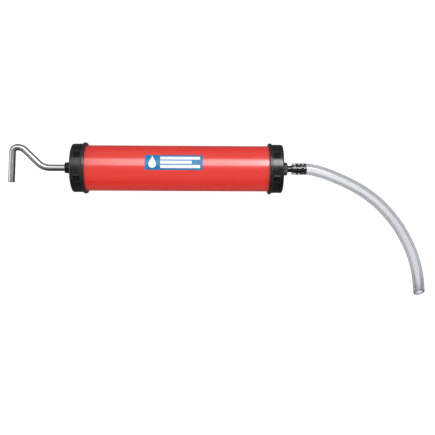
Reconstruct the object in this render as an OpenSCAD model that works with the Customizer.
// Hand suction pump for gear oil: a piston in a tube with two screw caps, a hooked rod and a hose.
// It lies on its cap flanges: +X runs along the barrel from the handle to the hose, +Z is up.
// The origin is under the middle of the rigid pump, on the floor.

/* [Barrel] */
// Outside diameter of the barrel
barrel_od = 56; // [50:1:60]
// Wall thickness of the barrel
barrel_wall = 1.5; // [1:0.25:2.5]
// Length of barrel between the two caps
barrel_seen = 222.6; // [160:0.1:300]
// Pitch of the thread at each end of the barrel
thread_pitch = 3; // [2.5:0.5:4]
// Depth of the barrel's thread
thread_depth = 0.7; // [0.3:0.1:0.8]

/* [Label] */
// Distance from the rear cap's outer face to the label
label_x = 90.5; // [30:0.5:100]
// Length of the label along the barrel
label_l = 69.5; // [40:0.5:90]
// Angle that the label wraps round the barrel
label_arc = 38.5; // [20:0.5:90]
// Angle from the top of the barrel to the label's lower edge
label_edge = 8; // [-30:0.5:30]

/* [Caps] */
// Length of a cap
cap_l = 17.7; // [16:0.1:22]
// Thickness of a cap's skirt round the barrel
cap_skirt = 2; // [1.8:0.1:3]
// Thickness of a cap's end wall
cap_wall = 4; // [3:0.5:5]
// Radius of a cap's outer edge
cap_round = 2; // [0.5:0.5:3]
// Height of the flange above the skirt
flange_rise = 1.5; // [0.5:0.1:3]
// Length of the flange along the barrel
flange_l = 4; // [2:0.5:4]
// Number of grip pockets round a cap
pocket_count = 6; // [4:1:8]
// Angle that one grip pocket spans
pocket_arc = 16; // [8:1:24]
// Length of a grip pocket along the cap
pocket_l = 8; // [5:0.5:8]
// Depth of a grip pocket
pocket_depth = 1.1; // [0.5:0.1:1.2]
// Thickness of the gasket between a cap and the barrel's end
gasket_t = 1.2; // [0.8:0.1:2]

/* [Gland] */
// Width across the flats of the gland nut
gland_af = 13; // [13:0.5:17]
// Distance that the gland stands out of the rear cap
gland_out = 10.2; // [7:0.1:14]
// Diameter of the gland's threaded spigot
gland_spigot_d = 12; // [11:0.5:12]
// Diameter of the air vent in the rear cap
vent_d = 2.5; // [1:0.5:4]

/* [Rod and handle] */
// Diameter of the rod
rod_d = 8; // [7:0.5:8]
// Length of straight rod between the rear cap and the handle's first bend
rod_out = 29; // [24:1:60]
// Angle of the handle's sloping length to the rod
slope_angle = 44; // [30:1:60]
// Length of the straight sloping part
slope_l = 22.5; // [15:0.5:40]
// Centreline radius of the bend that leaves the rod
bend_out_r = 20.4; // [10:0.1:30]
// Centreline radius of the bend at the top of the slope
bend_top_r = 13.6; // [8:0.1:25]
// Centreline radius of the hook's tight bend
bend_hook_r = 6; // [5.5:0.5:15]
// Length of the hook's straight leg
leg_l = 37.4; // [20:0.1:60]
// Angle that the leg leans away from square to the rod
leg_lean = 2; // [0:0.1:10]

/* [Piston] */
// Thickness of a cup's base
cup_base = 3; // [2:0.5:4]
// Thickness of a cup's lip
cup_lip_t = 3; // [2:0.5:4]
// Length of a cup's lip past its base
cup_lip_l = 6; // [4:0.5:8]
// Thickness of the piston disc
disc_t = 3; // [2:0.5:6]
// Diameter of the plate washers
plate_d = 40; // [24:1:42]
// Thickness of the plate washers
plate_t = 2; // [1:0.5:3]

/* [Connector and hose] */
// Width across the flats of the hose connector's hexagon
connector_af = 14; // [13:0.5:17]
// Distance from the front cap's face to the far side of the hexagon
connector_hex_end = 6.7; // [5:0.1:10]
// Diameter of the connector's neck
connector_neck_d = 8; // [7:0.5:9]
// Diameter of the connector's tail between the barbs
tail_d = 10; // [9:0.1:10]
// Height of a barb above the tail
barb_rise = 0.6; // [0.2:0.1:0.8]
// Distance between barbs
barb_pitch = 4.9; // [4:0.1:5]
// Number of barbs
barb_count = 3; // [1:1:3]
// Diameter of the oil way through the connector
oilway_d = 5.5; // [3:0.5:6]
// Outside diameter of the hose
hose_od = 14; // [13:0.5:16]
// Inside diameter of the hose
hose_id = 10; // [9:0.5:10]

/* [Hidden] */
$fn = 96;

red = [0.86, 0.13, 0.11];
black = [0.09, 0.09, 0.10];
chrome = [0.80, 0.81, 0.83];
zinc = [0.68, 0.70, 0.70];
rubber = [0.16, 0.16, 0.17];
nylon = [0.90, 0.88, 0.82];
blue = [0.10, 0.50, 0.78];
clear = [0.74, 0.80, 0.86, 0.6];

// Clearances: running is round a turning or sliding shaft, fit is between fixed pieces
running = 0.05;
fit = 0.02;
sliver = 1;

// Lengths along X are counted from the rear cap's outer face
barrel_r = barrel_od / 2;
bore_r = barrel_r - barrel_wall;
pump_l = barrel_seen + 2 * cap_l;
tube_start = cap_wall + gasket_t;
tube_end = pump_l - tube_start;
cap_bore_r = barrel_r + 0.08;
cap_r = barrel_r + cap_skirt;
flange_r = cap_r + flange_rise;
cap_thread_depth = 0.3;
thread_count = floor((cap_l - tube_start - 1) / thread_pitch);
thread_w = thread_pitch / 2;
pocket_first = -30;
pocket_start = cap_l - flange_l - 1.1 - pocket_l;

// Gland: the packing and the bush sit behind the spigot, in the rear cap's boss
rod_r = rod_d / 2;
washer_t = 1;
gland_spigot_r = gland_spigot_d / 2;
gland_spigot_l = 3;
seal_l = 2;
bush_l = 2;
boss_r = gland_spigot_r + 4;
boss_end = gland_spigot_l + seal_l + bush_l + 2;
vent_place = bore_r - 6;

// Piston pack: each place is the rear side of the piece, from the front of the rod back
connector_spigot_r = 5;
connector_nut_t = 4;
connector_nut_af = 17;
connector_in = cap_wall + connector_nut_t + 1;
rod_end = pump_l - connector_in - 1.5;
nut_af = 13;
nut_t = 6.5;
jam_t = 4;
spring_t = 2;
nut_x = rod_end - 1.5 - nut_t;
spring_x = nut_x - spring_t;
front_plate_x = spring_x - plate_t;
front_cup_x = front_plate_x - cup_base;
disc_x = front_cup_x - disc_t;
rear_cup_x = disc_x - cup_base;
rear_plate_x = rear_cup_x - plate_t;
jam_x = rear_plate_x - jam_t;
cup_r = bore_r - 0.1;
disc_r = bore_r - 1;

// Handle: the corners of its path in the level plane of the hook, as [x, y]
bend_out_centre = [-rod_out, bend_out_r];
slope_start = bend_out_centre - bend_out_r * [sin(slope_angle), cos(slope_angle)];
slope_end = slope_start + slope_l * [-cos(slope_angle), sin(slope_angle)];
bend_top_centre = slope_end - bend_top_r * [sin(slope_angle), cos(slope_angle)];
bend_hook_centre = bend_top_centre + [0, bend_top_r - bend_hook_r];
leg_top = bend_hook_centre + bend_hook_r * [-cos(leg_lean), sin(leg_lean)];
leg_foot = leg_top - leg_l * [sin(leg_lean), cos(leg_lean)];
// The bends are a hair thicker than the rod, and its straight lengths run on into them;
// the tight bend is a hair thicker again, and starts by this angle inside the bend before it
bend_swell = 0.05;
bend_lap = 0.5;
bend_step = 0.3;

// Connector: lengths are counted from the front cap's outer face
tail_start = 12.5;
tail_end = 30.3;
barb_first = 16.8;
barb_l = 3.9;
barb_r = tail_d / 2 + barb_rise;

// Hose route: x from the front cap's outer face, y from the axis, and the drop below the axis;
// it leaves the connector straight, sinks to the floor and lies on it
hose_route = [
    [12.5, 0, 0], [22, 0, 0], [31, 0, 0], [42, -1.8, 0.5], [55, -5.4, 1.8], [68.2, -10.2, 3.7],
    [81.8, -15.8, 6.2], [95.3, -22.3, 9.2], [108.9, -30, 12.6], [122.2, -39.5, 16.2], [134.5, -50.5, 19.4],
    [145.5, -62.5, 22.2], [155.5, -76, 24], [163.3, -90, 24.5], [170.1, -105, 24.5], [175, -121, 24.5],
    [178.2, -138, 24.5], [179.6, -155, 24.5]
];
// The far end is cut at a slant, so that it can't seal against the bottom of a sump:
// its length changes by this much for each millimetre of height
end_slant = 0.6;
hose_sides = 12;

// Placing: the rigid pump is centred on the origin and its flanges touch the floor
handle_reach = rod_r * cos(leg_lean) - leg_foot[0];
rear_face_x = (handle_reach - pump_l - tail_end) / 2;
axis_z = flange_r;

// Puts a shape that is counted from the rear cap's face and the axis in its place
module place() {
    translate([rear_face_x, 0, axis_z]) children();
}

// Turns a shape drawn round Z so that Z runs along X; angle 0 is the top and grows towards -Y
module along_x(x = 0) {
    place() translate([x, 0, 0]) rotate([0, 90, 0]) rotate([0, 0, 180]) children();
}

// Ring or washer from z = 0 to t
module ring(outer_r, inner_r, t) {
    difference() {
        cylinder(r = outer_r, h = t);
        translate([0, 0, -sliver]) cylinder(r = inner_r, h = t + 2 * sliver);
    }
}

// Hexagon prism with its outer corners rounded off at one end or both
module hexagon(af, t, turn = 0, bottom_chamfer = true) {
    corner_r = af / 2 / cos(30);
    drop = (corner_r - af / 2) * tan(30);
    intersection() {
        rotate([0, 0, turn]) cylinder(r = corner_r, h = t, $fn = 6);
        rotate_extrude()
            polygon([
                [0, 0], [bottom_chamfer ? af / 2 : corner_r + 0.1, 0],
                [corner_r + 0.1, bottom_chamfer ? drop + 0.06 : 0], [corner_r + 0.1, t - drop - 0.06],
                [af / 2, t], [0, t]
            ]);
    }
}

// Hexagon nut from z = 0 to t
module nut(af, hole_r, t) {
    difference() {
        hexagon(af, t);
        translate([0, 0, -sliver]) cylinder(r = hole_r, h = t + 2 * sliver);
    }
}

// Rings of thread groove round Z, cut into a surface of radius r; depth < 0 cuts outwards
module thread_rings(r, depth, first) {
    for (i = [0 : thread_count - 1])
        translate([0, 0, first + i * thread_pitch])
            rotate_extrude()
                polygon([
                    [r + depth * 0.2, 0], [r, 0], [r - depth, thread_w * 0.3],
                    [r - depth, thread_w * 0.7], [r, thread_w], [r + depth * 0.2, thread_w]
                ]);
}

module barrel() {
    first = 1.2;
    tube_l = tube_end - tube_start;
    color(red) along_x(tube_start) difference() {
        ring(barrel_r, bore_r, tube_l);
        thread_rings(barrel_r, thread_depth, first);
        translate([0, 0, tube_l]) mirror([0, 0, 1]) thread_rings(barrel_r, thread_depth, first);
    }
}

module label() {
    label_t = 0.25;
    color(blue) along_x(label_x) rotate([0, 0, label_edge - label_arc])
        rotate_extrude(angle = label_arc) translate([barrel_r + fit, 0]) square([label_t, label_l]);
}

// Half section of a cap, as [radius, distance from the outer face]
module cap_section() {
    difference() {
        union() {
            square([cap_r - cap_round, cap_l]);
            translate([0, cap_round]) square([cap_r, cap_l - cap_round]);
            translate([cap_r - cap_round, cap_round]) intersection() {
                circle(r = cap_round);
                translate([0, -cap_round]) square(cap_round);
            }
            translate([0, cap_l - flange_l]) square([flange_r, flange_l]);
        }
        translate([-sliver, cap_wall]) square([cap_bore_r + sliver, cap_l]);
    }
}

// Screw cap with its outer face at z = 0 and its open end up
module cap_shell() {
    difference() {
        rotate_extrude() cap_section();
        thread_rings(cap_bore_r, -cap_thread_depth, tube_start + 1.2);
        for (i = [0 : pocket_count - 1])
            rotate([0, 0, pocket_first + i * 360 / pocket_count - pocket_arc / 2])
                rotate_extrude(angle = pocket_arc)
                    translate([cap_r - pocket_depth, pocket_start]) square([5, pocket_l]);
    }
}

module rear_cap() {
    color(black) along_x() difference() {
        union() {
            cap_shell();
            translate([0, 0, cap_wall - sliver]) cylinder(r = boss_r, h = boss_end - cap_wall + sliver);
        }
        translate([0, 0, -sliver]) cylinder(r = gland_spigot_r + fit, h = boss_end - 2 + sliver);
        translate([0, 0, -sliver]) cylinder(r = rod_r + 0.5, h = boss_end + 2 * sliver);
        rotate([0, 0, 90]) translate([vent_place, 0, -sliver])
            cylinder(d = vent_d, h = cap_wall + 2 * sliver);
    }
}

module front_cap() {
    color(black) along_x(pump_l) mirror([0, 0, 1]) difference() {
        cap_shell();
        translate([0, 0, -sliver]) cylinder(r = connector_spigot_r + fit, h = cap_wall + 2 * sliver);
    }
}

module gasket(x) {
    color(rubber) along_x(x) ring(barrel_r, bore_r, gasket_t);
}

module rear_gasket() {
    gasket(cap_wall);
}

module front_gasket() {
    gasket(tube_end);
}

module gland_nut() {
    hex_l = gland_out - washer_t;
    color(black) along_x(-gland_out) difference() {
        union() {
            hexagon(gland_af, hex_l, bottom_chamfer = true);
            translate([0, 0, hex_l - sliver])
                cylinder(r = gland_spigot_r, h = washer_t + gland_spigot_l + sliver);
        }
        translate([0, 0, -sliver]) cylinder(r = rod_r + running, h = gland_out + gland_spigot_l + 2 * sliver);
    }
}

module gland_washer() {
    color(rubber) along_x(-washer_t) ring(gland_af / 2 + 0.6, gland_spigot_r + fit, washer_t);
}

module rod_seal() {
    color(rubber) along_x(gland_spigot_l) ring(gland_spigot_r, rod_r + running, seal_l);
}

module rod_bush() {
    color(nylon) along_x(gland_spigot_l + seal_l) ring(gland_spigot_r, rod_r + running, bush_l);
}

// Straight length of the rod from one [x, y] to another, run on into the bend at either end
module rod_length(from, to, lap_from, lap_to) {
    way = (to - from) / norm(to - from);
    start = from - lap_from * way;
    translate([start[0], start[1], 0]) rotate([0, 0, atan2(way[1], way[0])])
        rotate([0, 90, 0]) cylinder(r = rod_r, h = norm(to - from) + lap_from + lap_to);
}

// Bend of the rod about a centre [x, y], between two angles; it is thicker by swell
module rod_bend(centre, r, from, to, swell) {
    translate([centre[0], centre[1], 0]) rotate([0, 0, from])
        rotate_extrude(angle = to - from) translate([r, 0]) circle(r = rod_r + swell);
}

module handle_rod() {
    color(chrome) place() union() {
        rod_length([rod_end, 0], [-rod_out, 0], 0, bend_lap);
        rod_bend(bend_out_centre, bend_out_r, -90 - slope_angle, -90, bend_swell);
        rod_length(slope_start, slope_end, bend_lap, bend_lap);
        rod_bend(bend_top_centre, bend_top_r, 90 - slope_angle, 90, bend_swell);
        rod_bend(bend_hook_centre, bend_hook_r, 90 - bend_step, 180 - leg_lean, 2 * bend_swell);
        rod_length(leg_top, leg_foot, bend_lap, 0);
    }
}

module jam_nut() {
    color(zinc) along_x(jam_x) nut(nut_af, rod_r + fit, jam_t);
}

module rod_nut() {
    color(zinc) along_x(nut_x) nut(nut_af, rod_r + fit, nut_t);
}

module plate(x) {
    color(zinc) along_x(x) ring(plate_d / 2, rod_r + 0.1, plate_t);
}

module rear_plate() {
    plate(rear_plate_x);
}

module front_plate() {
    plate(front_plate_x);
}

// Cup seal with its base at z = 0 and its lip up
module cup() {
    difference() {
        cylinder(r = cup_r, h = cup_base + cup_lip_l);
        translate([0, 0, cup_base]) cylinder(r = cup_r - cup_lip_t, h = cup_lip_l + sliver);
        translate([0, 0, -sliver]) cylinder(r = rod_r + running, h = cup_base + 2 * sliver);
    }
}

module rear_cup() {
    color(rubber) along_x(disc_x) mirror([0, 0, 1]) cup();
}

module front_cup() {
    color(rubber) along_x(front_cup_x) cup();
}

module piston_disc() {
    color(zinc) along_x(disc_x) ring(disc_r, rod_r + running, disc_t);
}

module spring_washer() {
    split_w = 0.8;
    color(zinc) along_x(spring_x) difference() {
        ring(rod_r + 3.4, rod_r + 0.1, spring_t);
        translate([0, -split_w / 2, -sliver]) cube([rod_r + 5, split_w, spring_t + 2 * sliver]);
    }
}

module connector_seal() {
    color(rubber) along_x(pump_l) ring(connector_af / 2 + 1.5, connector_spigot_r + fit, washer_t);
}

module connector_nut() {
    color(zinc) along_x(pump_l - cap_wall - connector_nut_t)
        nut(connector_nut_af, connector_spigot_r + fit, connector_nut_t);
}

// Half section of the hose connector, as [radius, distance from the front cap's face]
function barb_outline(i) = [
    [tail_d / 2, barb_first + i * barb_pitch], [barb_r, barb_first + i * barb_pitch],
    [tail_d / 2, barb_first + i * barb_pitch + barb_l]
];

module hose_connector() {
    oilway_r = oilway_d / 2;
    barbs = [for (i = [0 : barb_count - 1]) each barb_outline(i)];
    color(black) along_x(pump_l) difference() {
        union() {
            translate([0, 0, washer_t])
                hexagon(connector_af, connector_hex_end - washer_t, 30, bottom_chamfer = false);
            rotate_extrude() polygon(concat(
                [[0, -connector_in], [connector_spigot_r, -connector_in]],
                [[connector_spigot_r, washer_t + 1], [connector_neck_d / 2, washer_t + 1]],
                [[connector_neck_d / 2, tail_start], [tail_d / 2, tail_start]],
                barbs,
                [[tail_d / 2, tail_end - 0.6], [tail_d / 2 - 0.6, tail_end], [0, tail_end]]
            ));
        }
        translate([0, 0, -connector_in - sliver])
            cylinder(r = oilway_r, h = connector_in + tail_end + 2 * sliver);
    }
}

// Unit vector along the hose at route point i, from the points on each side of it
function hose_way(i) =
    let (last = len(hose_route) - 1, step = hose_at(min(i + 1, last)) - hose_at(max(i - 1, 0)))
    i <= 1 ? [1, 0, 0] : step / norm(step);
function hose_at(i) = [hose_route[i][0], hose_route[i][1], -hose_route[i][2]];
function ring_points(i, r) =
    let (way = hose_way(i), level = cross([0, 0, 1], way), side = level / norm(level), up = cross(way, side))
    let (slant = i == len(hose_route) - 1 ? end_slant : 0)
    [for (k = [0 : hose_sides - 1])
        let (a = 360 * (k + 0.5) / hose_sides)
            hose_at(i) + r * (cos(a) * side + sin(a) * up - slant * sin(a) * way)];
// Quads between two rings of points that start at a and b
function band(a, b) = [
    for (k = [0 : hose_sides - 1])
        let (n = (k + 1) % hose_sides) [a + k, a + n, b + n, b + k]
];

module hose() {
    rings = len(hose_route);
    inner = rings * hose_sides;
    points = concat(
        [for (i = [0 : rings - 1]) each ring_points(i, hose_od / 2)],
        [for (i = [0 : rings - 1]) each ring_points(i, hose_id / 2)]
    );
    faces = concat(
        [for (i = [0 : rings - 2]) each band((i + 1) * hose_sides, i * hose_sides)],
        [for (i = [0 : rings - 2]) each band(inner + i * hose_sides, inner + (i + 1) * hose_sides)],
        band(0, inner),
        band(inner + (rings - 1) * hose_sides, (rings - 1) * hose_sides)
    );
    color(clear) place() translate([pump_l, 0, 0]) polyhedron(points, faces);
}

barrel();
label();
rear_cap();
rear_gasket();
gland_nut();
gland_washer();
rod_seal();
rod_bush();
handle_rod();
jam_nut();
rear_plate();
rear_cup();
piston_disc();
front_cup();
front_plate();
spring_washer();
rod_nut();
front_cap();
front_gasket();
connector_seal();
hose_connector();
connector_nut();
hose();
